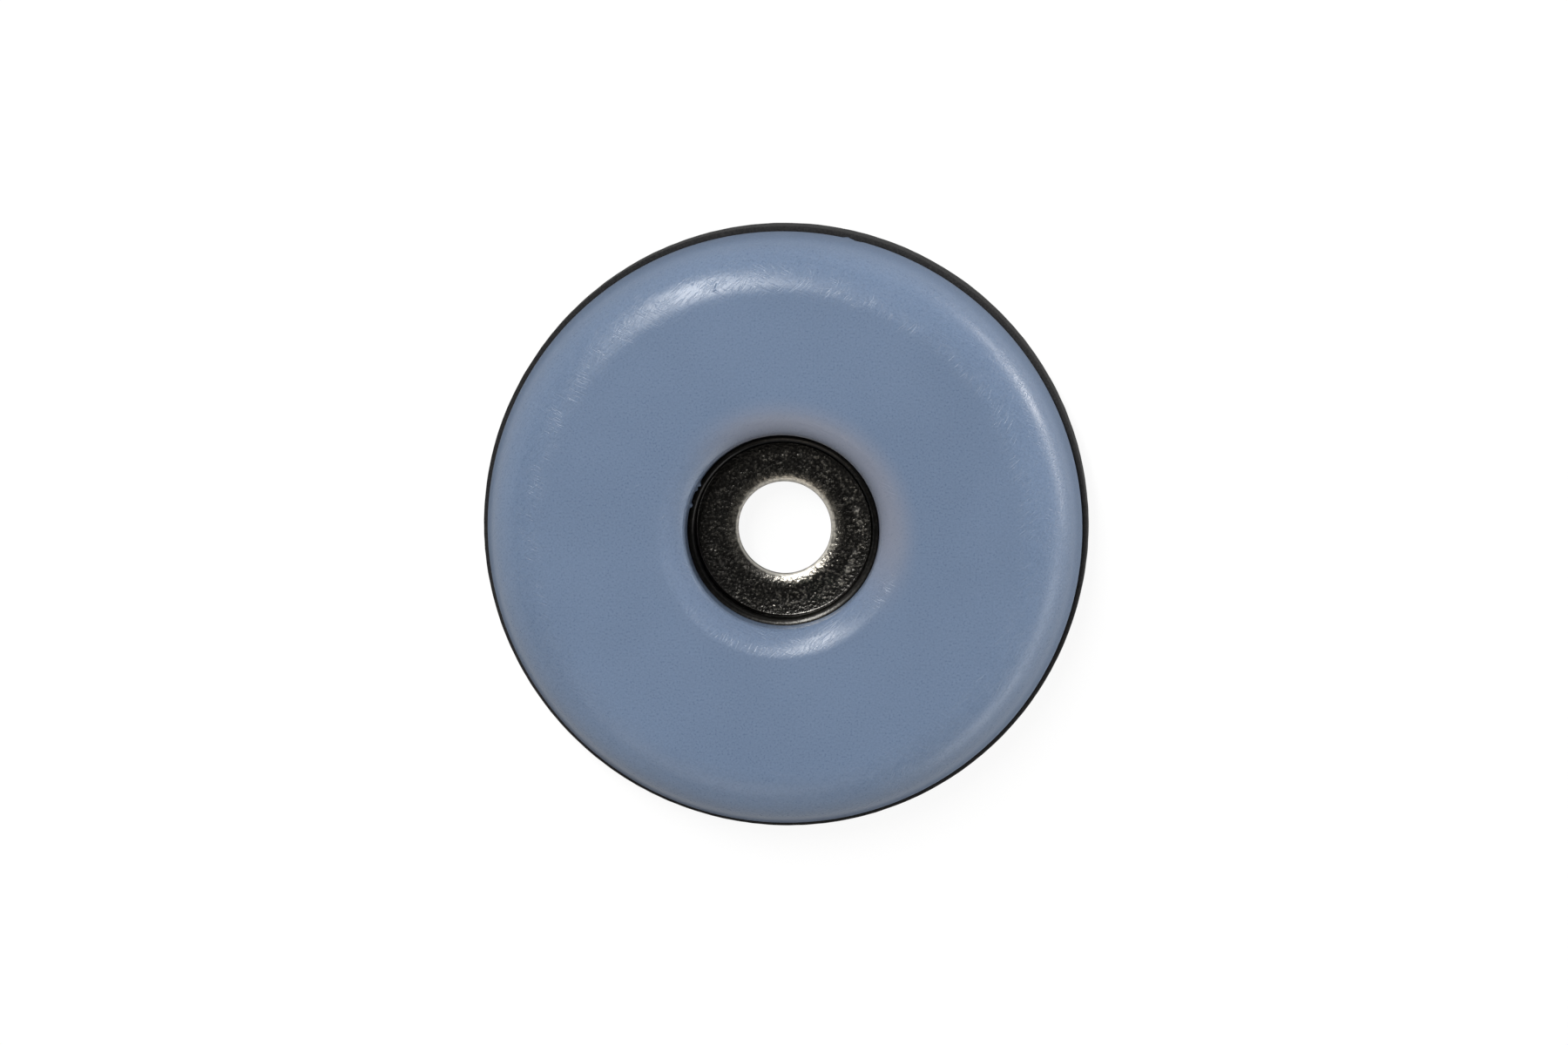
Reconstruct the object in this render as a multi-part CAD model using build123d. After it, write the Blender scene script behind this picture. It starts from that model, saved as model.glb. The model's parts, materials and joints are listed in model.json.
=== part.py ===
from build123d import *
import os

# Screw-on furniture glide, lying on its back with the sliding face up.
# Sizes are in millimetres. The origin is the centre of the mounting face, and +Z leaves the sliding face.

# Rubber pad, the side that goes against the furniture leg
PAD_DIAMETER = 30.0
PAD_THICKNESS = 1.8
PAD_BEVEL = 0.2  # on both outer edges

# Slide disc, bonded to the pad
DISC_THICKNESS = 3.2
DISC_LEDGE = 0.05  # flat of the pad left between its bevel and the disc
DISC_SIDE = 0.3  # straight side under the rounded edge
DISC_MOUTH_RADIUS = 1.5  # rounding from the sliding face into the recess

# Cup drawn from steel sheet, standing on the pad, with the screw hole in its floor
CUP_INNER_DIAMETER = 8.7
CUP_SHEET = 0.4
CUP_BEND = 0.15  # slope inside the corner from floor to wall
CUP_RIM_BREAK = 0.12  # bevel on both edges of the rim
CUP_RIM_DROP = 0.1  # from the end of the disc's mouth rounding down to the rim
SCREW_HOLE_DIAMETER = 4.6
HOLE_ROLL_WIDTH = 0.6  # where the punch drew the floor over into the hole
HOLE_ROLL_DEPTH = 0.2

# Fits
CUP_CLEARANCE = 0.05  # between the cup's wall and the disc
PAD_HOLE_CLEARANCE = 0.5  # from the screw hole to the larger hole in the pad

# Radii that the pieces share
pad_radius = PAD_DIAMETER / 2
disc_radius = pad_radius - PAD_BEVEL - DISC_LEDGE
cup_inner_radius = CUP_INNER_DIAMETER / 2
cup_outer_radius = cup_inner_radius + CUP_SHEET
disc_bore_radius = cup_outer_radius + CUP_CLEARANCE
hole_radius = SCREW_HOLE_DIAMETER / 2
pad_hole_radius = hole_radius + PAD_HOLE_CLEARANCE

# Heights above the mounting face
floor_height = PAD_THICKNESS + CUP_SHEET
sliding_height = PAD_THICKNESS + DISC_THICKNESS
rim_height = sliding_height - DISC_MOUTH_RADIUS - CUP_RIM_DROP


def rubber_pad():
    """Flat ring with both outer edges bevelled."""
    with BuildPart() as pad:
        Cylinder(pad_radius, PAD_THICKNESS, align=(Align.CENTER, Align.CENTER, Align.MIN))
        chamfer(pad.edges().filter_by(GeomType.CIRCLE), PAD_BEVEL)
        Hole(pad_hole_radius)
    return pad.part


def slide_disc():
    """Thick ring whose side is almost one quarter round, with a smaller rounding into the recess."""
    with BuildPart() as disc:
        with BuildSketch(Plane.XZ):
            with BuildLine():
                FilletPolyline(
                    (disc_bore_radius, PAD_THICKNESS),
                    (disc_radius, PAD_THICKNESS),
                    (disc_radius, sliding_height),
                    (disc_bore_radius, sliding_height),
                    radius=[0, 0, DISC_THICKNESS - DISC_SIDE, DISC_MOUTH_RADIUS],
                    close=True,
                )
            make_face()
        revolve(axis=Axis.Z)
    return disc.part


def steel_cup():
    """Drawn cup: punched screw hole with a rolled edge, floor, wall and broken rim, in even sheet."""
    outer_bend = CUP_BEND + (2 - 2**0.5) * CUP_SHEET  # keeps the sheet even across the corner
    with BuildPart() as cup:
        with BuildSketch(Plane.XZ):
            with BuildLine():
                roll = EllipticalCenterArc(
                    (hole_radius + HOLE_ROLL_WIDTH, floor_height - HOLE_ROLL_DEPTH),
                    HOLE_ROLL_WIDTH,
                    HOLE_ROLL_DEPTH,
                    start_angle=90,
                    arc_size=90,
                )
                Polyline(
                    roll @ 0,
                    (cup_inner_radius - CUP_BEND, floor_height),
                    (cup_inner_radius, floor_height + CUP_BEND),
                    (cup_inner_radius, rim_height - CUP_RIM_BREAK),
                    (cup_inner_radius + CUP_RIM_BREAK, rim_height),
                    (cup_outer_radius - CUP_RIM_BREAK, rim_height),
                    (cup_outer_radius, rim_height - CUP_RIM_BREAK),
                    (cup_outer_radius, PAD_THICKNESS + outer_bend),
                    (cup_outer_radius - outer_bend, PAD_THICKNESS),
                    (hole_radius, PAD_THICKNESS),
                    roll @ 1,
                )
            make_face()
        revolve(axis=Axis.Z)
    return cup.part


os.makedirs("parts", exist_ok=True)
for make in (rubber_pad, slide_disc, steel_cup):
    export_step(make(), f"parts/{make.__name__}.step")
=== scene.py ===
"""Looks of the screw-on furniture glide: a polymer slide disc on a rubber pad, with a drawn steel cup."""

import json
import logging
import math
from dataclasses import dataclass, field
from enum import Enum
from typing import Union

import bmesh
import bpy
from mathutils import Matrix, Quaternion, Vector, noise


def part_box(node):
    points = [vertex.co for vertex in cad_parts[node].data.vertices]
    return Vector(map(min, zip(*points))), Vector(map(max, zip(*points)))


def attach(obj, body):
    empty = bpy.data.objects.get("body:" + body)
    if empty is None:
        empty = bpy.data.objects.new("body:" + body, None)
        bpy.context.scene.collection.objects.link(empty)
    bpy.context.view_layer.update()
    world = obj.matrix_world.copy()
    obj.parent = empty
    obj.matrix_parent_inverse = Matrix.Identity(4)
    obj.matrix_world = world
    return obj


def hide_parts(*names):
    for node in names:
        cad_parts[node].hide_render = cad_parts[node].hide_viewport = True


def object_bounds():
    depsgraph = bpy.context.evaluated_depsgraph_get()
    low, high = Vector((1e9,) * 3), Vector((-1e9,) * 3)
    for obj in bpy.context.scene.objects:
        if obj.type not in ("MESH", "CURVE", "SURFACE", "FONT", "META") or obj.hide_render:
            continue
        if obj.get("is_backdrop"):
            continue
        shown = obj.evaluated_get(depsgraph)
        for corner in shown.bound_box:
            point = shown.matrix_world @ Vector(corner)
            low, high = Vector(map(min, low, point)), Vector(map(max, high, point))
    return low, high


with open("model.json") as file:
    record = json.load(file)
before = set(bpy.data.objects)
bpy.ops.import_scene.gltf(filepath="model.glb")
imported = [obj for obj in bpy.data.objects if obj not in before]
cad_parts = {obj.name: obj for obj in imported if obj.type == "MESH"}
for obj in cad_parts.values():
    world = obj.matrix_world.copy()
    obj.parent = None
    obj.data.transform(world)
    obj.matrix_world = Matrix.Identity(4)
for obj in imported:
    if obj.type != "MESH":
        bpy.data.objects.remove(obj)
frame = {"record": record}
CAD_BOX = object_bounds()

LOG = logging.getLogger("glide")
MM = 0.001
BODY = "root"
LEVEL_TILT = 90.0  # tilt of a direction that lies along the sliding face, in degrees
MERGE_DISTANCE = 0.0005  # in the mesh's own unit
OPAQUE = 1.0

Socket = bpy.types.NodeSocket
Value = Union[float, tuple, Socket]
Colour = tuple[float, float, float]
Span = tuple[float, float]
Bend = tuple[float, float, float]

WHITE: Colour = (1.0, 1.0, 1.0)
UNSTRETCHED = (1.0, 1.0, 1.0)


class Slot(Enum):
    """Material slots of the record that the pieces take their finish from."""

    DISC = "slide_polymer"
    PAD = "black_rubber"
    CUP = "plated_steel"


class Mount(Enum):
    """Bores of the record that give the cup its inner sizes."""

    SCREW_HOLE = "screw_hole"
    HEAD_RECESS = "head_recess"

    def radius(self) -> float:
        """Radius of the bore in millimetres."""
        mounts = {mount["name"]: mount for mount in frame["record"]["mounts"]}
        return mounts[self.value]["dims"]["r_mm"]


class NodeSheet:
    """Node tree of one material, with short calls that add and join nodes."""

    def __init__(self, name: str) -> None:
        """Starts an empty tree.

        Args:
            name: name of the material.
        """
        self.material = bpy.data.materials.new(name)
        self.material.use_nodes = True
        self.tree = self.material.node_tree
        self.tree.nodes.clear()

    def add(self, kind: str, inputs: dict, output: Union[int, str] = 0, **settings) -> Socket:
        """Adds a node and sets or links its inputs.

        Args:
            kind: node type, without the ShaderNode prefix.
            inputs: values or sockets, by input name or number.
            output: the output that is handed back.
            settings: attributes of the node itself.

        Returns:
            The chosen output socket.
        """
        node = self.tree.nodes.new("ShaderNode" + kind)
        for key, value in settings.items():
            setattr(node, key, value)
        for key, value in inputs.items():
            if isinstance(value, Socket):
                self.tree.links.new(value, node.inputs[key])
            else:
                node.inputs[key].default_value = value
        return node.outputs[output]

    def place(self) -> Socket:
        """Object coordinates, in metres."""
        return self.add("TexCoord", {}, "Object")

    def axes(self, place: Socket) -> tuple[Socket, Socket, Socket]:
        """The three parts of a vector."""
        node = self.add("SeparateXYZ", {"Vector": place}).node
        return node.outputs["X"], node.outputs["Y"], node.outputs["Z"]

    def height(self, place: Socket) -> Socket:
        """Height above the mounting face, in metres."""
        return self.axes(place)[2]

    def flat(self, place: Socket) -> Socket:
        """Place with its height left out."""
        x, y, _ = self.axes(place)
        return self.add("CombineXYZ", {"X": x, "Y": y})

    def radius(self, place: Socket) -> Socket:
        """Distance from the glide's axis, in metres."""
        return self.add("VectorMath", {0: self.flat(place)}, "Value", operation="LENGTH")

    def facing(self, place: Socket, azimuth: float) -> Socket:
        """How far a place lies on one side of the glide.

        Args:
            place: object coordinates.
            azimuth: the side, in degrees round the axis.

        Returns:
            Cosine of the angle round the axis between the place and the azimuth.
        """
        outwards = self.add("VectorMath", {0: self.flat(place)}, operation="NORMALIZE")
        towards = tuple(direction(LEVEL_TILT, azimuth))
        return self.add("VectorMath", {0: outwards, 1: towards}, "Value", operation="DOT_PRODUCT")

    def math(self, operation: str, first: Value, second: Value = 0.0) -> Socket:
        """Result of one sum on two numbers."""
        return self.add("Math", {0: first, 1: second}, operation=operation)

    def times(self, first: Value, *others: Value) -> Value:
        """Product of two or more numbers.

        Args:
            first: a number.
            others: the numbers that it is multiplied by.

        Returns:
            The product.
        """
        for other in others:
            first = self.math("MULTIPLY", first, other)
        return first

    def larger(self, first: Value, second: Value) -> Socket:
        """The larger of two numbers."""
        return self.math("MAXIMUM", first, second)

    def turned(self, place: Socket, angle: float, scale: tuple) -> Socket:
        """Place turned about Z by an angle in degrees and then stretched."""
        turn = self.add("Mapping", {"Vector": place, "Rotation": (0.0, 0.0, math.radians(angle))})
        return self.add("Mapping", {"Vector": turn, "Scale": scale})

    def noise(self, place: Socket, grain: float, detail: float = 2.0) -> Socket:
        """Noise from 0 to 1.

        Args:
            place: coordinates in metres.
            grain: size of a blob in millimetres.
            detail: octaves.

        Returns:
            The noise as a number.
        """
        return self.add("TexNoise", {"Vector": place, "Scale": 1 / (grain * MM), "Detail": detail}, "Fac")

    def ramp(self, value: Value, low: float, high: float, start: float = 0.0, end: float = 1.0) -> Socket:
        """Smooth step of a value between two levels, from start to end."""
        inputs = {"Value": value, "From Min": low, "From Max": high, "To Min": start, "To Max": end}
        return self.add("MapRange", inputs, interpolation_type="SMOOTHSTEP")

    def step(self, length: Value, low: float, high: float, start: float = 0.0, end: float = 1.0) -> Socket:
        """Smooth step of a length in metres between two lengths in millimetres, from start to end."""
        return self.ramp(length, low * MM, high * MM, start, end)

    def band(self, length: Value, centre: float, half_width: float) -> Socket:
        """Soft band in millimetres: 1 at the centre and 0 beyond the half width."""
        distance = self.math("ABSOLUTE", self.math("SUBTRACT", length, centre * MM))
        return self.step(distance, 0.0, half_width, start=1.0, end=0.0)

    def mix(self, share: Value, first: Value, second: Value) -> Socket:
        """Colour between two colours.

        Args:
            share: share of the second colour.
            first: socket, or red, green and blue.
            second: socket, or red, green and blue.

        Returns:
            The mixed colour.
        """
        # A Mix node repeats its socket names for every data type, so its sockets go by number.
        ends = [colour if isinstance(colour, Socket) else (*colour, OPAQUE) for colour in (first, second)]
        return self.add("Mix", {0: share, 6: ends[0], 7: ends[1]}, 2, data_type="RGBA")

    def blend(self, share: Value, first: Value, second: Value) -> Socket:
        """Number between two numbers."""
        return self.add("Mix", {0: share, 2: first, 3: second}, 0, data_type="FLOAT")

    def bump(self, height: Socket, strength: float, depth: float) -> Socket:
        """Normal that follows a height map, with the depth in millimetres."""
        return self.add("Bump", {"Height": height, "Strength": strength, "Distance": depth * MM}, "Normal")

    def add_output(self, surface: Socket) -> None:
        """Joins a shader to the material's output."""
        output = self.tree.nodes.new("ShaderNodeOutputMaterial")
        self.tree.links.new(surface, output.inputs["Surface"])

    def finish(self, inputs: dict) -> bpy.types.Material:
        """Closes the tree with one surface shader and hands the material back."""
        self.add_output(self.add("BsdfPrincipled", inputs))
        return self.material


def direction(tilt: float, azimuth: float) -> Vector:
    """Unit vector at a tilt from the glide's axis, towards an azimuth, both in degrees."""
    lean, turn = math.radians(tilt), math.radians(azimuth)
    return Vector((math.sin(lean) * math.cos(turn), math.sin(lean) * math.sin(turn), math.cos(lean)))


@dataclass(frozen=True)
class Scratch:
    """Short straight mark on the polymer. Lengths are in millimetres and angles in degrees."""

    radius: float
    azimuth: float
    length: float
    width: float
    turn: float

    def cover(self, sheet: NodeSheet, place: Socket) -> Socket:
        """Share of the mark at a place.

        Args:
            sheet: the material's node sheet.
            place: object coordinates.

        Returns:
            1 in the middle of the mark, falling to 0 at its edges.
        """
        middle = direction(LEVEL_TILT, self.azimuth) * self.radius * MM
        offset = sheet.add("VectorMath", {0: place, 1: tuple(middle)}, operation="SUBTRACT")
        along, across, _ = sheet.axes(sheet.turned(offset, -self.turn, UNSTRETCHED))
        return sheet.times(sheet.band(along, 0.0, self.length / 2), sheet.band(across, 0.0, self.width / 2))


@dataclass(frozen=True)
class SlidePolymer:
    """Blue-grey low-friction polymer: satin, a little translucent, finely grained and worn on its roundings,
    with painted warm light and painted shade round the mouth and painted shade at the foot.

    Lengths are in millimetres and angles in degrees. Levels are of a noise, from 0 to 1. A facing is a span
    of cosines of the angle to the azimuth it goes with.
    """

    shoulder_radius: float
    lip_radius: float
    bore_radius: float

    dark: Colour = (0.136, 0.191, 0.288)
    light: Colour = (0.174, 0.239, 0.354)
    tone_levels: Span = (0.3, 0.7)
    grain: float = 0.10
    grain_relief: float = 0.35
    cloud: float = 6.0
    cloud_share: float = 0.25
    roughness: float = 0.28
    roughness_spread: float = 0.03
    flank_roughness: float = 0.85
    flank_heights: Span = (2.9, 3.75)
    refraction: float = 1.42
    translucence: float = 0.15
    translucent_radii: Colour = (1.0, 0.8, 0.7)
    translucent_depth: float = 0.6

    scuffed: Colour = (0.26, 0.31, 0.39)
    scuffed_roughness: float = 0.35
    scuff_angles: tuple[float, ...] = (-62.0, -40.0, 25.0)
    scuff_length: float = 1.3
    scuff_width: float = 0.08
    scuff_upright_scale: float = 0.5
    scuff_levels: Span = (0.52, 0.68)
    scuff_patch: float = 1.3
    scuff_patch_levels: Span = (0.38, 0.60)
    scuff_shoulder: Span = (-0.5, 0.5)
    scuff_lip: Span = (-0.5, 0.2)
    scuff_flat_share: float = 0.12
    scuff_pale_share: float = 0.08
    scuff_depth: float = 0.0078
    bump_strength: float = 0.8

    # Painted warm light round the mouth: a lighter, warmer colour, mostly on one side.
    lip_light: Colour = (0.238, 0.256, 0.316)
    lip_light_azimuth: float = 50.0
    lip_light_facing: Span = (-0.15, 0.70)
    lip_light_shares: Span = (0.06, 0.85)
    lip_light_reach: float = 0.8
    # Painted shade towards the edge of the recess.
    lip_shade: Colour = (0.030, 0.035, 0.046)
    lip_shade_azimuth: float = 66.0
    lip_shade_facing: Span = (-0.1, 1.0)
    lip_shade_share: float = 0.80
    lip_shade_inset: float = 0.15
    lip_shade_width: float = 0.95

    # Painted shade at the foot of the outer side: darker towards one azimuth, thinner towards another.
    foot_shade: Colour = (0.112, 0.153, 0.226)
    foot_heights: Span = (2.2, 4.5)
    foot_radii: Span = (8.0, 10.0)
    foot_dark_shade: Colour = (0.040, 0.060, 0.105)
    foot_dark_shade_azimuth: float = 250.0
    foot_dark_shade_facing: Span = (0.55, 1.0)
    foot_less_shade_azimuth: float = 28.0
    foot_less_shade_facing: Span = (0.5, 1.0)
    foot_less_shade_share: float = 0.6

    nicks: tuple[Scratch, ...] = (
        Scratch(12.76, 104.4, 0.42, 0.10, 68.0),
        Scratch(12.55, 104.9, 0.26, 0.09, 25.0),
    )
    nick_relief: float = 4.0
    scratches: tuple[Scratch, ...] = (
        Scratch(7.5, 161.0, 0.55, 0.07, 26.0),
        Scratch(7.9, 163.5, 0.30, 0.06, 40.0),
    )
    scratch_pale_share: float = 0.5

    def scuffs(self, sheet: NodeSheet, place: Socket) -> Socket:
        """Crossing hairlines, close together on the two roundings and sparse on the flat.

        Args:
            sheet: the material's node sheet.
            place: object coordinates.

        Returns:
            Strength of the scuffing, from 0 to 1.
        """
        stretch = (self.scuff_width / self.scuff_length, 1.0, self.scuff_upright_scale)
        total: Value = 0.0
        for angle in self.scuff_angles:
            line = sheet.noise(sheet.turned(place, angle, stretch), self.scuff_width, detail=1.0)
            patch = sheet.noise(sheet.turned(place, angle, UNSTRETCHED), self.scuff_patch)
            patch = sheet.ramp(patch, *self.scuff_patch_levels)
            hair = sheet.times(sheet.ramp(line, *self.scuff_levels), patch)
            total = sheet.larger(total, hair)
        radius = sheet.radius(place)
        shoulder = sheet.step(radius, *(self.shoulder_radius + margin for margin in self.scuff_shoulder))
        lip_ends = [self.lip_radius + margin for margin in self.scuff_lip]
        lip = sheet.step(radius, *lip_ends, start=1.0, end=0.0)
        rubbed = sheet.ramp(sheet.larger(shoulder, lip), 0.0, 1.0, start=self.scuff_flat_share)
        return sheet.times(total, rubbed)

    def painted_lip_light(self, sheet: NodeSheet, place: Socket) -> Socket:
        """Painted warm light round the mouth of the recess, mostly on one side.

        Args:
            sheet: the material's node sheet.
            place: object coordinates.

        Returns:
            Share of the painted light, from 0 to 1.
        """
        inner, outer = self.lip_radius - self.lip_light_reach, self.lip_radius + self.lip_light_reach
        reach = sheet.step(sheet.radius(place), inner, outer, start=1.0, end=0.0)
        facing = sheet.facing(place, self.lip_light_azimuth)
        return sheet.times(reach, sheet.ramp(facing, *self.lip_light_facing, *self.lip_light_shares))

    def lip_shadow(self, sheet: NodeSheet, place: Socket) -> Socket:
        """Painted soft shade towards the edge of the recess, on the side with the painted warm light.

        Args:
            sheet: the material's node sheet.
            place: object coordinates.

        Returns:
            Share of the painted shade, from 0 to 1.
        """
        inner = self.bore_radius - self.lip_shade_inset
        outer = inner + self.lip_shade_width
        reach = sheet.step(sheet.radius(place), inner, outer, start=self.lip_shade_share, end=0.0)
        facing = sheet.facing(place, self.lip_shade_azimuth)
        return sheet.times(reach, sheet.ramp(facing, *self.lip_shade_facing))

    def painted_foot_shade(self, sheet: NodeSheet, place: Socket, colour: Socket) -> Socket:
        """Paints shade on the foot of the outer side, darker towards one azimuth and thinner towards another.

        Args:
            sheet: the material's node sheet.
            place: object coordinates.
            colour: colour of the polymer before its painted shade.

        Returns:
            The colour with its painted shade.
        """
        low = sheet.step(sheet.height(place), *self.foot_heights, start=1.0, end=0.0)
        outside = sheet.step(sheet.radius(place), *self.foot_radii)
        less_shade_side = sheet.facing(place, self.foot_less_shade_azimuth)
        less_shade = sheet.ramp(less_shade_side, *self.foot_less_shade_facing, start=1.0, end=self.foot_less_shade_share)
        dark_side = sheet.ramp(sheet.facing(place, self.foot_dark_shade_azimuth), *self.foot_dark_shade_facing)
        shade = sheet.mix(dark_side, self.foot_shade, self.foot_dark_shade)
        return sheet.mix(sheet.times(low, outside, less_shade), colour, shade)

    def covered(self, sheet: NodeSheet, place: Socket, marks: tuple[Scratch, ...]) -> Value:
        """Largest share of any of the marks at a place.

        Args:
            sheet: the material's node sheet.
            place: object coordinates.
            marks: the marks to draw.

        Returns:
            Share of the marks, from 0 to 1.
        """
        total: Value = 0.0
        for mark in marks:
            total = sheet.larger(total, mark.cover(sheet, place))
        return total

    def make(self) -> bpy.types.Material:
        """Builds the material.

        Returns:
            The finished material.
        """
        sheet = NodeSheet(Slot.DISC.value)
        place = sheet.place()
        grain = sheet.noise(place, self.grain, detail=3.0)
        cloud = sheet.noise(place, self.cloud)
        scuff = self.scuffs(sheet, place)
        nick = self.covered(sheet, place, self.nicks)
        scratch = self.covered(sheet, place, self.scratches)

        tones = [sheet.ramp(pattern, *self.tone_levels) for pattern in (grain, cloud)]
        colour = sheet.mix(sheet.blend(self.cloud_share, *tones), self.dark, self.light)
        # Painted shade at the foot.
        colour = self.painted_foot_shade(sheet, place, colour)
        # Painted warm light round the mouth.
        colour = sheet.mix(self.painted_lip_light(sheet, place), colour, self.lip_light)
        # Painted shade at the edge of the recess.
        colour = sheet.mix(self.lip_shadow(sheet, place), colour, self.lip_shade)
        pale_scuff = sheet.times(scuff, self.scuff_pale_share)
        pale_scratch = sheet.times(scratch, self.scratch_pale_share)
        colour = sheet.mix(sheet.larger(pale_scuff, pale_scratch), colour, self.scuffed)

        smoothest, roughest = self.roughness - self.roughness_spread, self.roughness + self.roughness_spread
        rough = sheet.blend(scuff, sheet.blend(grain, smoothest, roughest), self.scuffed_roughness)
        above_flank = sheet.step(sheet.height(place), *self.flank_heights)
        rough = sheet.blend(above_flank, self.flank_roughness, rough)

        relief = sheet.math("SUBTRACT", sheet.times(grain, self.grain_relief), scuff)
        relief = sheet.math("SUBTRACT", relief, sheet.times(nick, self.nick_relief))
        return sheet.finish({
            "Base Color": colour,
            "Roughness": rough,
            "IOR": self.refraction,
            "Subsurface Weight": self.translucence,
            "Subsurface Radius": self.translucent_radii,
            "Subsurface Scale": self.translucent_depth * MM,
            "Normal": sheet.bump(relief, self.bump_strength, self.scuff_depth),
        })


@dataclass(frozen=True)
class BlackRubber:
    """Black moulded rubber: matte, with a fine pebbled skin and a trace of dust.

    Lengths are in millimetres. Levels are of a noise, from 0 to 1.
    """

    dark: Colour = (0.010, 0.010, 0.011)
    light: Colour = (0.022, 0.022, 0.022)
    tone_levels: Span = (0.3, 0.7)
    dust: Colour = (0.07, 0.07, 0.066)
    dust_levels: Span = (0.55, 0.75)
    dust_share: float = 0.4
    patch: float = 1.6
    patch_levels: Span = (0.5, 0.75)
    roughness: float = 0.85
    roughness_spread: float = 0.06
    refraction: float = 1.4
    gloss: float = 0.25
    pebble: float = 0.10
    pebble_depth: float = 0.03
    bump_strength: float = 0.5

    def make(self) -> bpy.types.Material:
        """Builds the material.

        Returns:
            The finished material.
        """
        sheet = NodeSheet(Slot.PAD.value)
        place = sheet.place()
        pebble = sheet.noise(place, self.pebble, detail=4.0)
        patch = sheet.noise(place, self.patch, detail=3.0)
        dusty = sheet.times(sheet.ramp(pebble, *self.dust_levels), sheet.ramp(patch, *self.patch_levels))
        colour = sheet.mix(sheet.ramp(pebble, *self.tone_levels), self.dark, self.light)
        colour = sheet.mix(sheet.times(dusty, self.dust_share), colour, self.dust)
        smoothest, roughest = self.roughness - self.roughness_spread, self.roughness + self.roughness_spread
        return sheet.finish({
            "Base Color": colour,
            "Roughness": sheet.blend(patch, smoothest, roughest),
            "IOR": self.refraction,
            "Specular IOR Level": self.gloss,
            "Normal": sheet.bump(pebble, self.bump_strength, self.pebble_depth),
        })


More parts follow.
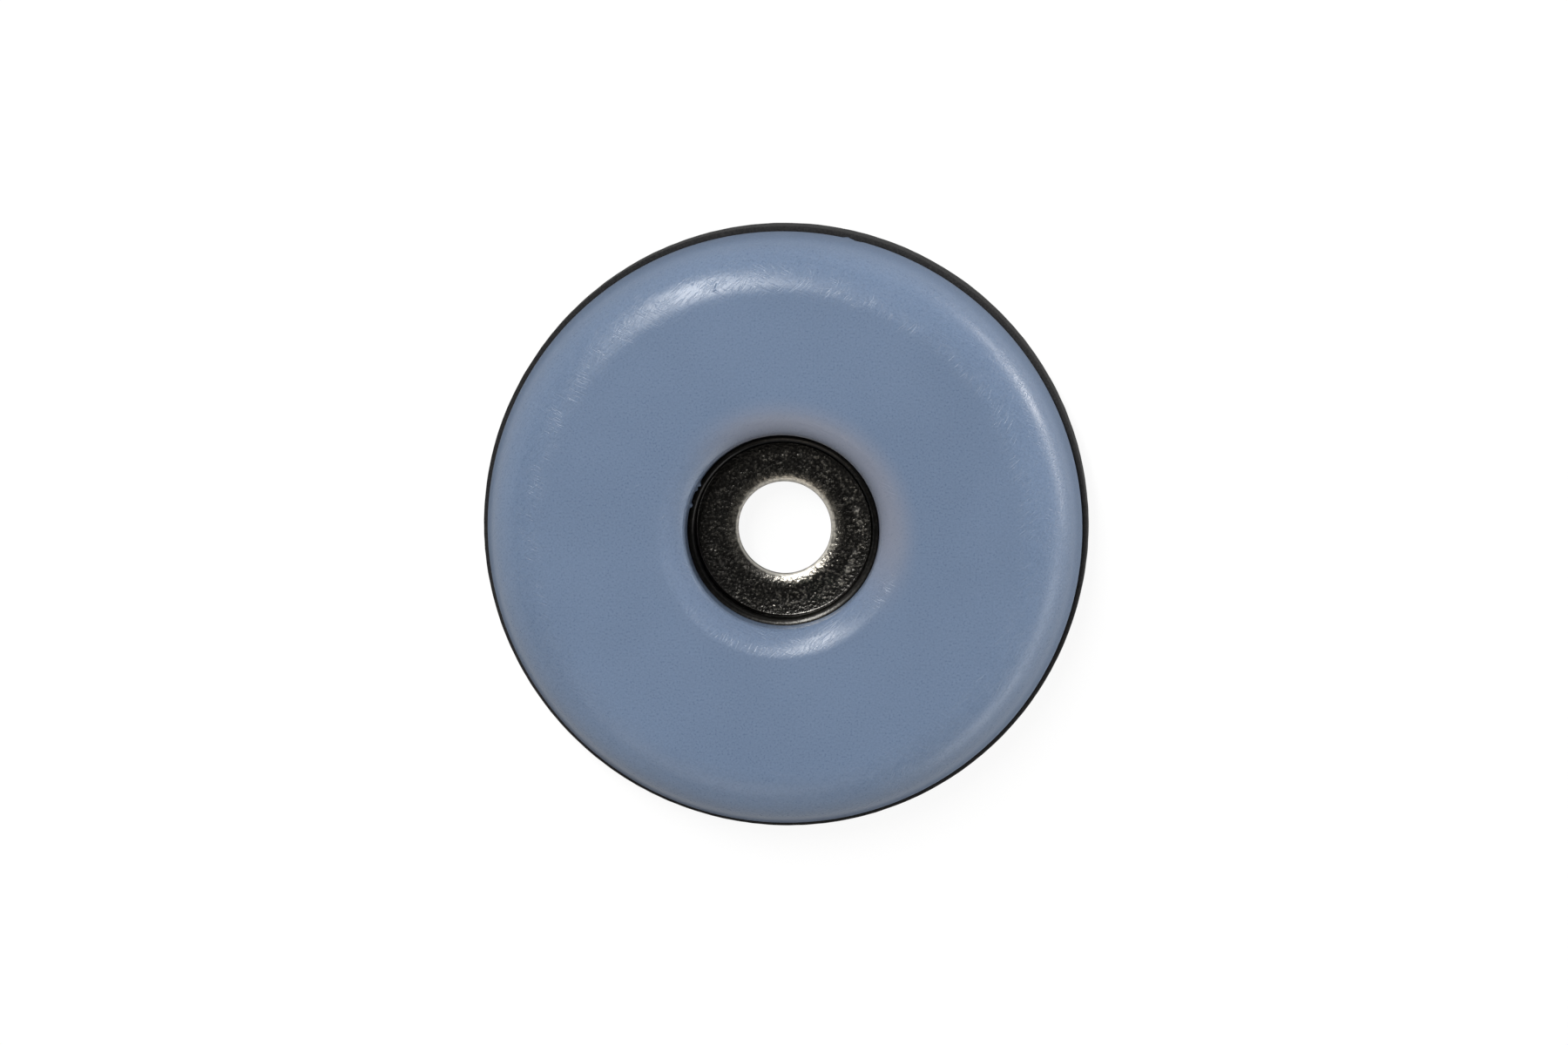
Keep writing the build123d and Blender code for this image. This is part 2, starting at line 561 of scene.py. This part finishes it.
@dataclass(frozen=True)
class PlatedSteel:
    """Plated drawn steel: very dark wall with painted shade, grainy floor with dust, a worn ring and painted
    glints, bright at the screw hole with painted shade on one side and a painted highlight on its edge.

    Lengths are in millimetres and angles in degrees. Levels are of a noise, from 0 to 1. A facing is a span
    of cosines of the angle to the azimuth it goes with.
    """

    floor_height: float
    hole_radius: float

    # Very dark wall colours as painted shade in the recess, darker still away from the lit azimuth.
    wall: Colour = (0.036, 0.035, 0.033)
    shaded_wall: Colour = (0.020, 0.0195, 0.019)
    wall_lit_azimuth: float = 290.0
    wall_lit_facing: Span = (0.2, 0.9)
    wall_roughness: float = 0.28
    wall_relief: float = 0.35
    wall_dust_share: float = 0.2
    floor: Colour = (0.09, 0.086, 0.08)
    floor_end: Span = (0.02, 0.07)
    floor_roughness: Span = (0.14, 0.26)
    grazing: Colour = (0.2, 0.2, 0.2)
    grain: float = 0.15
    grain_depth: float = 0.03
    bump_strength: float = 0.8

    bright: Colour = (0.66, 0.62, 0.53)
    bright_reach: float = 0.8
    bright_levels: Span = (0.38, 0.62)
    bright_least: float = 0.22
    bright_roughness: float = 0.26
    # Painted shade that dims the rubbed edge towards one azimuth.
    shaded_edge_azimuth: float = 236.0
    shaded_edge_facing: Span = (0.70, 1.0)
    shaded_edge_share: float = 0.12

    # Flecks: painted glints of the floor's grain, more on one side.
    fleck_azimuth: float = 345.0
    fleck_facing: Span = (-0.9, 0.9)
    fleck_shares: Span = (0.30, 0.70)
    fleck_levels: Span = (0.50, 0.68)
    fleck_patch: float = 1.1
    fleck_patch_levels: Span = (0.35, 0.62)
    fleck_patch_least: float = 0.3
    fleck_end: Span = (0.3, 0.5)
    fleck_end_share: float = 0.05

    dust: Colour = (0.42, 0.40, 0.37)
    dusty_metal: float = 0.2
    dusty_roughness: float = 0.6
    blotch: float = 0.30
    dirt_patch: float = 1.8
    ring_radius: float = 3.72
    ring_half_width: float = 0.34
    ring_share: float = 0.12
    ring_levels: Span = (0.30, 0.66)
    ring_patch_levels: Span = (0.36, 0.60)
    ring_patch_least: float = 0.25
    ring_azimuth: float = 5.0
    ring_facing: Span = (-0.4, 0.9)
    ring_side_shares: Span = (0.3, 1.7)
    film_share: float = 0.06
    film_levels: Span = (0.38, 0.70)
    film_grain_levels: Span = (0.40, 0.64)
    speck_spacing: float = 0.34
    speck_choice: Span = (0.93, 0.99)
    speck_edge: Span = (0.08, 0.20)
    speck_share: float = 0.7

    # Painted highlight: a pale band at the screw hole's edge.
    edge_highlight_colour: Colour = (0.76, 0.73, 0.66)
    edge_highlight_azimuth: float = 65.0
    edge_highlight_facing: Span = (-0.3, 0.7)
    edge_highlight_start: float = 0.06
    edge_highlight_reach: Span = (0.17, 0.34)
    edge_highlight_depths: Span = (0.2, 0.14)
    edge_highlight_share: float = 0.64

    def fleck_glints(self, sheet: NodeSheet, place: Socket, grain: Socket) -> Socket:
        """Painted glints: bright grains of the cup's floor, in patches and mostly on the lit side.

        Args:
            sheet: the material's node sheet.
            place: object coordinates.
            grain: fine noise of the metal.

        Returns:
            Share of the bright metal, from 0 to 1.
        """
        facing = sheet.facing(place, self.fleck_azimuth)
        lit = sheet.ramp(facing, *self.fleck_facing, *self.fleck_shares)
        patch = sheet.noise(place, self.fleck_patch)
        patch = sheet.ramp(patch, *self.fleck_patch_levels, start=self.fleck_patch_least)
        ends = [self.ring_radius + margin for margin in self.fleck_end]
        inside = sheet.step(sheet.radius(place), *ends, start=1.0, end=self.fleck_end_share)
        return sheet.times(sheet.ramp(grain, *self.fleck_levels), lit, patch, inside)

    def rubbed_edge(self, sheet: NodeSheet, place: Socket, grain: Socket, near_hole: Socket) -> Socket:
        """Bright rubbed metal round the screw hole, dimmed by painted shade towards one azimuth.

        Args:
            sheet: the material's node sheet.
            place: object coordinates.
            grain: fine noise of the metal.
            near_hole: 1 at the hole's edge, falling to 0 on the floor.

        Returns:
            Share of the bright metal, from 0 to 1.
        """
        grainy = sheet.ramp(grain, *self.bright_levels, start=self.bright_least)
        facing = sheet.facing(place, self.shaded_edge_azimuth)
        shaded = sheet.ramp(facing, *self.shaded_edge_facing, start=1.0, end=self.shaded_edge_share)
        return sheet.times(near_hole, grainy, shaded)

    def painted_edge_highlight(self, sheet: NodeSheet, place: Socket) -> Socket:
        """Painted highlight at the edge of the screw hole: a pale band, thin all round and wider on one side.

        Args:
            sheet: the material's node sheet.
            place: object coordinates.

        Returns:
            Share of the painted highlight, from 0 to 1.
        """
        radius = sheet.radius(place)
        inner = self.hole_radius + self.edge_highlight_start
        outers = [self.hole_radius + reach for reach in self.edge_highlight_reach]
        thin, wide = (sheet.step(radius, inner, outer, start=1.0, end=0.0) for outer in outers)
        side = sheet.ramp(sheet.facing(place, self.edge_highlight_azimuth), *self.edge_highlight_facing)
        cover = sheet.larger(thin, sheet.times(wide, side))
        heights = [self.floor_height - depth for depth in self.edge_highlight_depths]
        above = sheet.step(sheet.height(place), *heights)
        return sheet.times(cover, above, self.edge_highlight_share)

    def dirt(self, sheet: NodeSheet, place: Socket, grain: Socket, low: Socket) -> Socket:
        """Dust film, the mottled ring that a screw head left, and specks.

        Args:
            sheet: the material's node sheet.
            place: object coordinates.
            grain: fine noise of the metal.
            low: 1 on the cup's floor and 0 above it.

        Returns:
            Share of the metal that is covered, from 0 to 1.
        """
        blotch = sheet.noise(place, self.blotch, detail=4.0)
        patch = sheet.noise(place, self.dirt_patch)
        patch = sheet.ramp(patch, *self.ring_patch_levels, start=self.ring_patch_least)
        ring = sheet.band(sheet.radius(place), self.ring_radius, self.ring_half_width)
        side = sheet.ramp(sheet.facing(place, self.ring_azimuth), *self.ring_facing, *self.ring_side_shares)
        ring = sheet.times(ring, sheet.ramp(blotch, *self.ring_levels), patch, side, self.ring_share)
        film_grain = sheet.ramp(grain, *self.film_grain_levels)
        film = sheet.times(sheet.ramp(blotch, *self.film_levels), film_grain, self.film_share)
        spacing = {"Vector": place, "Scale": 1 / (self.speck_spacing * MM)}
        cells = sheet.add("TexVoronoi", spacing).node
        pick = sheet.add("SeparateColor", {"Color": cells.outputs["Color"]}, "Red")
        speck = sheet.ramp(cells.outputs["Distance"], *self.speck_edge, start=1.0, end=0.0)
        speck = sheet.times(speck, sheet.ramp(pick, *self.speck_choice), self.speck_share)
        loose = sheet.larger(sheet.math("ADD", film, ring), speck)
        return sheet.times(loose, sheet.ramp(low, 0.0, 1.0, start=self.wall_dust_share))

    def make(self) -> bpy.types.Material:
        """Builds the material.

        Returns:
            The finished material.
        """
        sheet = NodeSheet(Slot.CUP.value)
        place = sheet.place()
        grain = sheet.noise(place, self.grain, detail=3.0)
        floor_ends = [self.floor_height + margin for margin in self.floor_end]
        low = sheet.step(sheet.height(place), *floor_ends, start=1.0, end=0.0)
        bright_end = self.hole_radius + self.bright_reach
        near_hole = sheet.step(sheet.radius(place), self.hole_radius, bright_end, start=1.0, end=0.0)
        fleck_glints = self.fleck_glints(sheet, place, grain)
        rubbed = self.rubbed_edge(sheet, place, grain, near_hole)
        dusty = self.dirt(sheet, place, grain, low)
        worn = self.painted_edge_highlight(sheet, place)

        # Painted shade: the wall is very dark, and darker on the side away from the lit azimuth.
        side = sheet.ramp(sheet.facing(place, self.wall_lit_azimuth), *self.wall_lit_facing)
        colour = sheet.mix(low, sheet.mix(side, self.shaded_wall, self.wall), self.floor)
        # Bright metal: painted glints in the flecks, and rubbed metal at the hole.
        colour = sheet.mix(sheet.larger(fleck_glints, rubbed), colour, self.bright)
        colour = sheet.mix(dusty, colour, self.dust)
        # Pale band at the hole's edge: painted highlight.
        colour = sheet.mix(worn, colour, self.edge_highlight_colour)

        # Dust and the painted highlight band are less metallic and rougher.
        dull = sheet.larger(dusty, worn)
        floor_rough = sheet.blend(near_hole, sheet.blend(grain, *self.floor_roughness), self.bright_roughness)
        rough = sheet.blend(low, self.wall_roughness, floor_rough)
        relief = sheet.times(grain, sheet.ramp(low, 0.0, 1.0, start=self.wall_relief))
        return sheet.finish({
            "Base Color": colour,
            "Metallic": sheet.ramp(dull, 0.0, 1.0, start=1.0, end=self.dusty_metal),
            "Roughness": sheet.blend(dull, rough, self.dusty_roughness),
            "Specular Tint": (*self.grazing, OPAQUE),
            "Normal": sheet.bump(relief, self.bump_strength, self.grain_depth),
        })


@dataclass(frozen=True)
class StudioFloor:
    """White floor that shows as white and keeps a faint shadow."""

    bounce: Colour = (0.26, 0.26, 0.26)
    shadow: Colour = (0.10, 0.10, 0.10)
    shown: float = 0.92

    def make(self) -> bpy.types.Material:
        """Builds the material.

        Returns:
            The finished material.
        """
        sheet = NodeSheet("studio_floor")
        path = sheet.add("LightPath", {}).node
        seen = sheet.larger(path.outputs["Is Camera Ray"], path.outputs["Is Glossy Ray"])
        seen = sheet.larger(seen, path.outputs["Is Transmission Ray"])
        white = sheet.add("Emission", {"Color": (*WHITE, OPAQUE), "Strength": self.shown})
        shade = sheet.add("BsdfDiffuse", {"Color": (*self.shadow, OPAQUE)})
        plain = sheet.add("BsdfDiffuse", {"Color": (*self.bounce, OPAQUE)})
        both = sheet.add("AddShader", {0: white, 1: shade})
        sheet.add_output(sheet.add("MixShader", {0: seen, 1: plain, 2: both}))
        sheet.material.cycles.emission_sampling = "NONE"
        return sheet.material


@dataclass(frozen=True)
class Corner:
    """Corner of a turned section, in millimetres, with the rounding that is put on it."""

    radius: float
    height: float
    rounding: float = 0.0
    segments: int = 6


def spin_round(shell: bmesh.types.BMesh, steps: int) -> None:
    """Spins a section a full turn about Z, merges its seam and points its faces outwards.

    Args:
        shell: mesh that holds only the section's edges.
        steps: divisions of the full turn.
    """
    section = shell.verts[:] + shell.edges[:]
    bmesh.ops.spin(shell, geom=section, axis=(0.0, 0.0, 1.0), cent=(0.0, 0.0, 0.0), angle=math.tau,
                   steps=steps, use_merge=True)
    bmesh.ops.remove_doubles(shell, verts=shell.verts[:], dist=MERGE_DISTANCE)
    bmesh.ops.recalc_face_normals(shell, faces=shell.faces[:])


def turned_mesh(corners: list[Corner], steps: int, cuts: int) -> bmesh.types.BMesh:
    """Turns a closed section about Z.

    Args:
        corners: corners of the section in order.
        steps: divisions of the full turn.
        cuts: supporting loops on each straight side.

    Returns:
        A closed shell in millimetres, with its faces pointing outwards.
    """
    shell = bmesh.new()
    section = [shell.verts.new((corner.radius, 0.0, corner.height)) for corner in corners]
    shell.faces.new(section)
    straights = list(shell.edges)
    for vert, corner in zip(section, corners):
        if corner.rounding:
            bmesh.ops.bevel(shell, geom=[vert], offset=corner.rounding, offset_type="OFFSET",
                            affect="VERTICES", segments=corner.segments, profile=0.5, material=-1)
    straights = [edge for edge in straights if edge.is_valid]
    bmesh.ops.subdivide_edges(shell, edges=straights, cuts=cuts)
    bmesh.ops.delete(shell, geom=shell.faces[:], context="FACES_ONLY")
    spin_round(shell, steps)
    return shell


def mesh_object(name: str, shell: bmesh.types.BMesh) -> bpy.types.Object:
    """Makes an object at the origin from a shell in metres, and frees the shell.

    Args:
        name: name of the object and its mesh.
        shell: the finished shell.

    Returns:
        The object, linked to the scene.
    """
    mesh = bpy.data.meshes.new(name)
    shell.to_mesh(mesh)
    shell.free()
    made = bpy.data.objects.new(name, mesh)
    bpy.context.scene.collection.objects.link(made)
    return made


def fall_off(distance: float, reach: float) -> float:
    """Smooth bump: 1 at no distance and 0 from the reach on, to both sides."""
    share = min(abs(distance) / reach, 1.0)
    return (1.0 - share * share) ** 2


@dataclass
class TurnedPiece:
    """Piece that is turned about the glide's axis and replaces one CAD node. Sizes are in millimetres."""

    name: str
    node: str
    slot: Slot
    steps: int = 512
    cuts: int = 6
    piece: bpy.types.Object = field(init=False)

    def __post_init__(self) -> None:
        """Reads the node's outer radius and heights from the frame."""
        low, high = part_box(self.node)
        self.outer_radius = high.x / MM
        self.bottom = low.z / MM
        self.top = high.z / MM

    def section(self) -> list[Corner]:
        """Corners of the piece's section."""
        raise NotImplementedError

    def mark(self, shell: bmesh.types.BMesh) -> None:
        """Adds the piece's own small marks to its shell."""

    def finish(self) -> bpy.types.Material:
        """Material of the piece."""
        raise NotImplementedError

    def build(self) -> None:
        """Makes the mesh, dresses it and puts it in the CAD node's place."""
        shell = turned_mesh(self.section(), self.steps, self.cuts)
        self.mark(shell)
        bmesh.ops.scale(shell, vec=(MM, MM, MM), verts=shell.verts[:])
        self.piece = mesh_object(self.name, shell)
        self.piece.data.shade_smooth()
        self.dress()

    def dress(self) -> None:
        """Gives the piece its material and body, and hides the CAD node that it replaces."""
        self.piece.data.materials.append(self.finish())
        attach(self.piece, BODY)
        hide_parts(self.node)


@dataclass
class RubberPad(TurnedPiece):
    """Flat rubber ring under the disc, a little wider than it."""

    hole_margin: float = 0.5
    hole_rounding: float = 0.05
    edge_rounding: float = 0.2
    edge_wave: float = 0.02
    waves_per_mm: float = 2.2
    steps: int = 720

    def section(self) -> list[Corner]:
        """Ring with rounded outer edges and a plain hole.

        Returns:
            The corners in order.
        """
        hole = Mount.SCREW_HOLE.radius() + self.hole_margin
        return [
            Corner(hole, self.bottom, self.hole_rounding),
            Corner(self.outer_radius, self.bottom, self.edge_rounding),
            Corner(self.outer_radius, self.top, self.edge_rounding),
            Corner(hole, self.top),
        ]

    def mark(self, shell: bmesh.types.BMesh) -> None:
        """Makes the outer edge a little uneven, inwards only.

        Args:
            shell: the pad's mesh.
        """
        rim = self.outer_radius - self.edge_rounding
        for vert in shell.verts:
            if vert.co.xy.length > rim:
                depth = self.edge_wave * (1.0 + noise.noise(vert.co * self.waves_per_mm)) / 2
                vert.co.xy *= 1.0 - depth / self.outer_radius

    def finish(self) -> bpy.types.Material:
        """Black rubber."""
        return BlackRubber().make()


@dataclass
class SlideDisc(TurnedPiece):
    """Polymer ring that slides on the floor, rounded outside and into the recess.

    Each bend of the mouth has its distance from the bore, its depth below the sliding face and its rounding.
    """

    side: float = 0.3
    mouth: tuple[Bend, ...] = (
        (1.135, 0.0, 0.34),
        (0.455, 0.362, 0.28),
        (0.08, 0.66, 0.17),
        (0.0, 1.30, 0.02),
    )
    bore_clearance: float = 0.015
    foot_rounding: float = 0.06
    lip_margin: float = 0.06
    lip_offset: float = 0.06
    lip_offset_azimuth: float = 65.0
    burr_azimuths: tuple[float, ...] = (151.0, 154.5, 165.0)
    burr_width: float = 2.2
    burr_depth: float = 0.20
    burr_height: float = 0.3
    burr_roughness: float = 0.6
    burr_waves_per_mm: float = 7.0
    flash_azimuth: float = 77.6
    notch_azimuth: float = 75.6
    flash_width: float = 0.9
    flash_depth: float = 0.06
    flash_inset: float = 0.1
    steps: int = 720

    def __post_init__(self) -> None:
        """Works out the outer rounding, the recess and the lip from the frame's boxes."""
        super().__post_init__()
        self.edge = self.top - self.bottom - self.side
        self.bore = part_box("steel_cup")[1].x / MM + self.bore_clearance
        first_reach, _, first_rounding = self.mouth[0]
        self.mouth_end = self.bore + first_reach + first_rounding
        self.lip_height = self.top - self.mouth[-1][1]

    def section(self) -> list[Corner]:
        """Ring whose side is almost one quarter round, with a rounded mouth that ends in a steep crisp lip.

        Returns:
            The corners in order.
        """
        mouth = [
            Corner(self.bore + reach, self.top - depth, rounding, segments=12)
            for reach, depth, rounding in self.mouth
        ]
        return [
            Corner(self.bore, self.bottom),
            Corner(self.outer_radius, self.bottom, self.foot_rounding, segments=4),
            Corner(self.outer_radius, self.top, self.edge, segments=32),
            *mouth,
        ]

    def burr(self, place: Vector, azimuth: float) -> float:
        """How far the ragged burrs stand out into the recess.

        Args:
            place: a point of the lip.
            azimuth: its azimuth in degrees.

        Returns:
            The distance towards the axis.
        """
        nearest = max(fall_off(azimuth - middle, self.burr_width) for middle in self.burr_azimuths)
        ragged = self.burr_roughness * (1.0 + noise.noise(place * self.burr_waves_per_mm))
        return nearest * ragged * self.burr_depth * fall_off(place.z - self.lip_height, self.burr_height)

    def flash(self, azimuth: float) -> float:
        """How far the flash stands out of the foot at an azimuth, less the depth of the notch."""
        flash = fall_off(azimuth - self.flash_azimuth, self.flash_width)
        return (flash - fall_off(azimuth - self.notch_azimuth, self.flash_width)) * self.flash_depth

    def mark(self, shell: bmesh.types.BMesh) -> None:
        """Adds the moulding's small faults: a lip off the axis with burrs, flash and a notch on the foot.

        Args:
            shell: the disc's mesh.
        """
        lip_shift = direction(LEVEL_TILT, self.lip_offset_azimuth) * self.lip_offset
        for vert in shell.verts:
            azimuth = math.degrees(math.atan2(vert.co.y, vert.co.x)) % 360.0
            radius = vert.co.xy.length
            on_lip = vert.co.z > self.lip_height - self.lip_margin
            on_foot = vert.co.z < self.bottom + self.side
            shift = 0.0
            if on_lip and radius < self.bore + self.burr_height:
                shift = -self.burr(vert.co, azimuth)
            elif on_foot and radius > self.outer_radius - self.flash_inset:
                shift = self.flash(azimuth)
            if shift:
                vert.co.xy *= 1.0 + shift / radius
            if on_lip and radius < self.mouth_end:
                vert.co += lip_shift * fall_off(radius - self.bore, self.mouth_end - self.bore)

    def finish(self) -> bpy.types.Material:
        """Blue-grey polymer."""
        return SlidePolymer(self.outer_radius - self.edge, self.mouth_end, self.bore).make()


@dataclass
class SteelCup(TurnedPiece):
    """Drawn cup that takes the screw's head, with the screw hole in its floor.

    Each bend of the roll has its distance from the hole, its depth below the floor and its rounding.
    """

    sheet: float = 0.4
    bend: float = 0.05
    rim_inner: float = 0.35
    rim_outer: float = 0.03
    hole_rounding: float = 0.03
    roll: tuple[Bend, ...] = (
        (0.0, 0.162, 0.055),
        (0.114, 0.066, 0.085),
        (0.425, 0.0, 0.17),
    )
    slope_radius: float = 3.65
    slope_rounding: float = 0.15
    slope_rise: float = 0.03

    def __post_init__(self) -> None:
        """Works out the height of the cup's floor."""
        super().__post_init__()
        self.floor = self.bottom + self.sheet

    def section(self) -> list[Corner]:
        """Even sheet: hole with a rolled edge, floor, wall and rounded rim.

        Returns:
            The corners in order.
        """
        hole = Mount.SCREW_HOLE.radius()
        wall = Mount.HEAD_RECESS.radius()
        roll = [
            Corner(hole + reach, self.floor - depth, rounding, segments=8)
            for reach, depth, rounding in self.roll
        ]
        return [
            Corner(hole, self.bottom, self.hole_rounding, segments=3),
            *roll,
            Corner(self.slope_radius, self.floor, self.slope_rounding, segments=4),
            Corner(wall, self.floor + self.slope_rise, self.bend, segments=10),
            Corner(wall, self.top, self.rim_inner, segments=14),
            Corner(self.outer_radius, self.top, self.rim_outer, segments=6),
            Corner(self.outer_radius, self.bottom, self.bend + self.sheet, segments=10),
        ]

    def finish(self) -> bpy.types.Material:
        """Plated steel, grainy on the floor and smooth on the wall."""
        return PlatedSteel(self.floor, Mount.SCREW_HOLE.radius()).make()


@dataclass(frozen=True)
class Lamp:
    """Rectangular soft light that faces the glide. Angles are in degrees and lengths in metres."""

    name: str
    tilt: float
    azimuth: float
    watts: float
    width: float
    height: float
    colour: Colour = WHITE
    distance: float = 0.5

    def build(self) -> None:
        """Makes the light."""
        data = bpy.data.lights.new(self.name, "AREA")
        data.shape = "RECTANGLE"
        data.size, data.size_y = self.width, self.height
        data.energy = self.watts
        data.color = self.colour
        lamp = bpy.data.objects.new(self.name, data)
        towards = direction(self.tilt, self.azimuth)
        lamp.location = towards * self.distance
        lamp.rotation_mode = "QUATERNION"
        lamp.rotation_quaternion = towards.to_track_quat("Z", "Y")
        bpy.context.scene.collection.objects.link(lamp)


@dataclass
class Studio:
    """Floor, room light, lamps and camera.

    Lengths are in metres, apart from the aim in millimetres and the two widths in the picture in pixels. Each
    room level has its elevation in degrees.
    """

    floor_radius: float = 1.6
    floor_steps: int = 96
    cove_radius: float = 3.2
    cove_height: float = 1.2
    room_levels: tuple[Span, ...] = ((10.0, 0.03), (40.0, 0.10), (64.0, 0.10), (74.0, 0.012))
    camera_tilt: float = 8.4
    camera_azimuth: float = 63.3
    camera_distance: float = 0.8
    clip_start: float = 0.01
    image_width: float = 1800.0
    glide_width: float = 695.4
    aim_height: float = 2.4
    aim_shift: Span = (-0.011, 0.294)
    lamps: tuple[Lamp, ...] = (
        Lamp("key_light", 35.2, 119.5, 2.60, 0.085, 0.32),
        Lamp("side_light", 87.0, 21.0, 1.14, 0.50, 0.05, (1.0, 0.96, 0.93)),
        Lamp("side_core", 87.0, 25.5, 0.42, 0.08, 0.05, (1.0, 0.96, 0.93)),
        Lamp("fill_light", 75.0, 322.0, 0.82, 0.50, 0.18),
        Lamp("warm_fill", 48.0, 252.0, 0.34, 0.30, 0.24, (1.0, 0.92, 0.84)),
    )

    def build_floor(self) -> None:
        """Makes a round floor that slopes up far away."""
        shell = bmesh.new()
        profile = [(0.0, 0.0), (self.floor_radius, 0.0), (self.cove_radius, self.cove_height)]
        line = [shell.verts.new((x, 0.0, z)) for x, z in profile]
        for first, second in zip(line, line[1:]):
            shell.edges.new((first, second))
        spin_round(shell, self.floor_steps)
        floor = mesh_object("studio_floor", shell)
        floor.data.materials.append(StudioFloor().make())
        floor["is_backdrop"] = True

    def build_room(self) -> None:
        """Makes the room light: brightest half-way up, with a dark cap overhead."""
        world = bpy.data.worlds.new("studio_room")
        world.use_nodes = True
        tree = world.node_tree
        tree.nodes.clear()
        place = tree.nodes.new("ShaderNodeTexCoord")
        axes = tree.nodes.new("ShaderNodeSeparateXYZ")
        tree.links.new(place.outputs["Generated"], axes.inputs["Vector"])
        shade = tree.nodes.new("ShaderNodeValToRGB")
        shade.color_ramp.interpolation = "EASE"
        # A new ramp has two stops: the first is used again and the second goes.
        stops = shade.color_ramp.elements
        stops.remove(stops[1])
        for number, (elevation, level) in enumerate(self.room_levels):
            position = math.sin(math.radians(elevation))
            stop = stops.new(position) if number else stops[0]
            stop.position = position
            stop.color = (level, level, level, OPAQUE)
        tree.links.new(axes.outputs["Z"], shade.inputs["Fac"])
        room = tree.nodes.new("ShaderNodeBackground")
        tree.links.new(shade.outputs["Color"], room.inputs["Color"])
        output = tree.nodes.new("ShaderNodeOutputWorld")
        tree.links.new(room.outputs["Background"], output.inputs["Surface"])
        bpy.context.scene.world = world

    def build_camera(self, width: float) -> None:
        """Makes a long lens that looks down on the sliding face.

        Args:
            width: width of the glide in metres.
        """
        data = bpy.data.cameras.new("camera")
        data.lens = data.sensor_width * self.camera_distance * self.glide_width / (self.image_width * width)
        data.clip_start = self.clip_start
        camera = bpy.data.objects.new("camera", data)
        turn = math.radians(self.camera_azimuth)
        hinge = Vector((-math.sin(turn), math.cos(turn), 0.0))
        pose = Quaternion(hinge, math.radians(self.camera_tilt))
        across, up, back = (pose @ Vector(axis) for axis in ((1, 0, 0), (0, 1, 0), (0, 0, 1)))
        aim = Vector((0.0, 0.0, self.aim_height * MM))
        aim += (across * self.aim_shift[0] + up * self.aim_shift[1]) * MM
        camera.location = aim + back * self.camera_distance
        camera.rotation_mode = "QUATERNION"
        camera.rotation_quaternion = pose
        bpy.context.scene.collection.objects.link(camera)
        bpy.context.scene.camera = camera

    def build(self) -> None:
        """Makes the whole studio round the glide."""
        bpy.context.scene.view_settings.view_transform = "Standard"
        self.build_floor()
        self.build_room()
        for lamp in self.lamps:
            lamp.build()
        self.build_camera(CAD_BOX[1].x - CAD_BOX[0].x)


def write_sizes() -> None:
    """Works out the CAD box and the visual model's box side by side, without keeping them."""
    boxes = {"cad": CAD_BOX, "visual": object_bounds()}
    {name: [list(corner) for corner in box] for name, box in boxes.items()}


def main() -> None:
    """Builds the glide's pieces in order, then the studio round them."""
    logging.basicConfig(level=logging.INFO, format="%(name)s: %(message)s")
    pieces = (
        RubberPad("pad", "rubber_pad", Slot.PAD),
        SlideDisc("disc", "slide_disc", Slot.DISC),
        SteelCup("cup", "steel_cup", Slot.CUP),
    )
    for part in pieces:
        part.build()
        LOG.info("%s: %d faces, finish %s", part.name, len(part.piece.data.polygons), part.slot.value)
    Studio().build()
    write_sizes()


if __name__ == "__main__":
    main()
